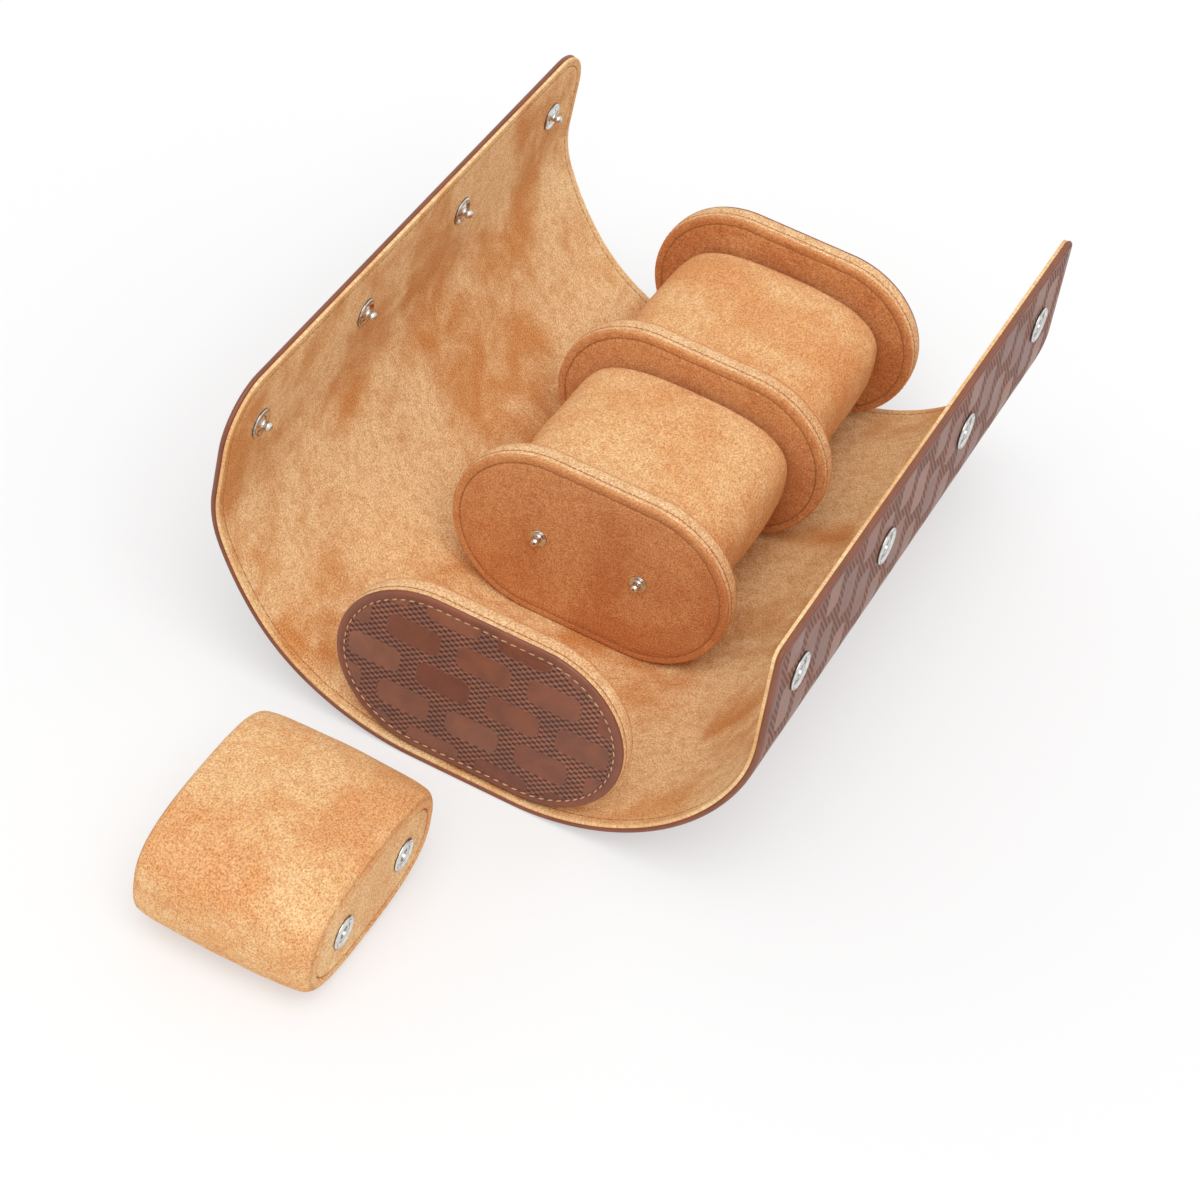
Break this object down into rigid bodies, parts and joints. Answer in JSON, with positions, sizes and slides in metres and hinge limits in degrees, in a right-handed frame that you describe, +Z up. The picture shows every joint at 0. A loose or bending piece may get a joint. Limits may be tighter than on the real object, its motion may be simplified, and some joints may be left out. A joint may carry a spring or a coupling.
{
  "type": "watch roll",
  "caption": "Travel watch roll standing open: stiff leather wrap lined with suede, upright stadium-shaped dividers, watch pillows held by press studs, and two snap flaps.",
  "frame": {"origin": "underside of the wrap's flat floor, at the middle of its width and length", "axes": "+X across the roll towards the socket flap, +Y along the roll to the rear plate, +Z up"},
  "size_m": [0.1804, 0.3349, 0.1036],
  "materials": {
    "leather": "satin, embossed",
    "suede": "brushed suede",
    "board": "matte",
    "foam": "matte foam",
    "nickel": "polished nickel"
  },
  "bodies": {
    "tray": {"floor_lining": "suede", "floor_board": "board", "floor_leather": "leather", "front_plate_core": "board", "front_plate_rim": "suede", "front_plate_front_face": "leather", "front_plate_rear_face": "suede", "divider_1_core": "board", "divider_1_rim": "suede", "divider_1_front_face": "suede", "divider_1_rear_face": "suede", "divider_2_core": "board", "divider_2_rim": "suede", "divider_2_front_face": "suede", "divider_2_rear_face": "suede", "rear_plate_core": "board", "rear_plate_rim": "suede", "rear_plate_front_face": "suede", "rear_plate_rear_face": "leather", "plate_studs": "nickel"},
    "stud_panel_1": {"stud_side_lining_1": "suede", "stud_side_board_1": "board", "stud_side_leather_1": "leather"},
    "stud_panel_2": {"stud_side_lining_2": "suede", "stud_side_board_2": "board", "stud_side_leather_2": "leather"},
    "stud_panel_3": {"stud_side_lining_3": "suede", "stud_side_board_3": "board", "stud_side_leather_3": "leather"},
    "stud_flap": {"stud_side_lining_4": "suede", "stud_side_board_4": "board", "stud_side_leather_4": "leather", "flap_studs": "nickel", "flap_caps": "nickel"},
    "socket_panel_1": {"socket_side_lining_1": "suede", "socket_side_board_1": "board", "socket_side_leather_1": "leather"},
    "socket_panel_2": {"socket_side_lining_2": "suede", "socket_side_board_2": "board", "socket_side_leather_2": "leather"},
    "socket_panel_3": {"socket_side_lining_3": "suede", "socket_side_board_3": "board", "socket_side_leather_3": "leather"},
    "socket_flap": {"socket_side_lining_4": "suede", "socket_side_board_4": "board", "socket_side_leather_4": "leather", "flap_sockets": "nickel", "flap_eyelets": "nickel"},
    "pillow_1": {"pillow_1_sleeve": "suede", "pillow_1_end_panels": "suede", "pillow_1_foam": "foam", "pillow_1_sockets": "nickel"},
    "pillow_2": {"pillow_2_sleeve": "suede", "pillow_2_end_panels": "suede", "pillow_2_foam": "foam", "pillow_2_sockets": "nickel"},
    "pillow_3": {"pillow_3_sleeve": "suede", "pillow_3_end_panels": "suede", "pillow_3_foam": "foam", "pillow_3_sockets": "nickel"}
  },
  "joints": [
    {"name": "stud_fold_1", "type": "hinge", "parent": "tray", "child": "stud_panel_1", "pos_m": [-0.02955, 0, 0.0039], "axis": [0, 1, 0], "range_deg": [-5, 23.64]},
    {"name": "stud_fold_2", "type": "hinge", "parent": "stud_panel_1", "child": "stud_panel_2", "pos_m": [-0.05279, 0, 0.0119], "axis": [0, 1, 0], "range_deg": [-5.61, 26.35]},
    {"name": "stud_fold_3", "type": "hinge", "parent": "stud_panel_2", "child": "stud_panel_3", "pos_m": [-0.07231, 0, 0.02771], "axis": [0, 1, 0], "range_deg": [-5.24, 24.59]},
    {"name": "stud_fold_4", "type": "hinge", "parent": "stud_panel_3", "child": "stud_flap", "pos_m": [-0.08629, 0, 0.04923], "axis": [0, 1, 0], "range_deg": [-2.91, 13.58]},
    {"name": "socket_fold_1", "type": "hinge", "parent": "tray", "child": "socket_panel_1", "pos_m": [0.02953, 0, 0.00412], "axis": [0, -1, 0], "range_deg": [-5, 20.84]},
    {"name": "socket_fold_2", "type": "hinge", "parent": "socket_panel_1", "child": "socket_panel_2", "pos_m": [0.0517, 0, 0.01307], "axis": [0, -1, 0], "range_deg": [-6.29, 26.08]},
    {"name": "socket_fold_3", "type": "hinge", "parent": "socket_panel_2", "child": "socket_panel_3", "pos_m": [0.06967, 0, 0.02925], "axis": [0, -1, 0], "range_deg": [-5.97, 24.73]},
    {"name": "socket_fold_4", "type": "hinge", "parent": "socket_panel_3", "child": "socket_flap", "pos_m": [0.08087, 0, 0.05033], "axis": [0, -1, 0], "range_deg": [-4, 16.51]},
    {"name": "pillow_1_lift", "type": "slide", "parent": "tray", "child": "pillow_1", "axis": [0, 0, 1], "range_m": [0, 0.06]},
    {"name": "pillow_2_pull", "type": "slide", "parent": "tray", "child": "pillow_2", "axis": [0, -1, 0], "range_m": [0, 0.0043]},
    {"name": "pillow_3_pull", "type": "slide", "parent": "tray", "child": "pillow_3", "axis": [0, -1, 0], "range_m": [0, 0.0043]}
  ],
  "couplings": [
    {"joint": "stud_fold_2", "follows": "stud_fold_1", "ratio": 1.1127},
    {"joint": "stud_fold_3", "follows": "stud_fold_1", "ratio": 1.0382},
    {"joint": "stud_fold_4", "follows": "stud_fold_1", "ratio": 0.57222},
    {"joint": "socket_fold_2", "follows": "socket_fold_1", "ratio": 1.249},
    {"joint": "socket_fold_3", "follows": "socket_fold_1", "ratio": 1.1843},
    {"joint": "socket_fold_4", "follows": "socket_fold_1", "ratio": 0.78966}
  ]
}
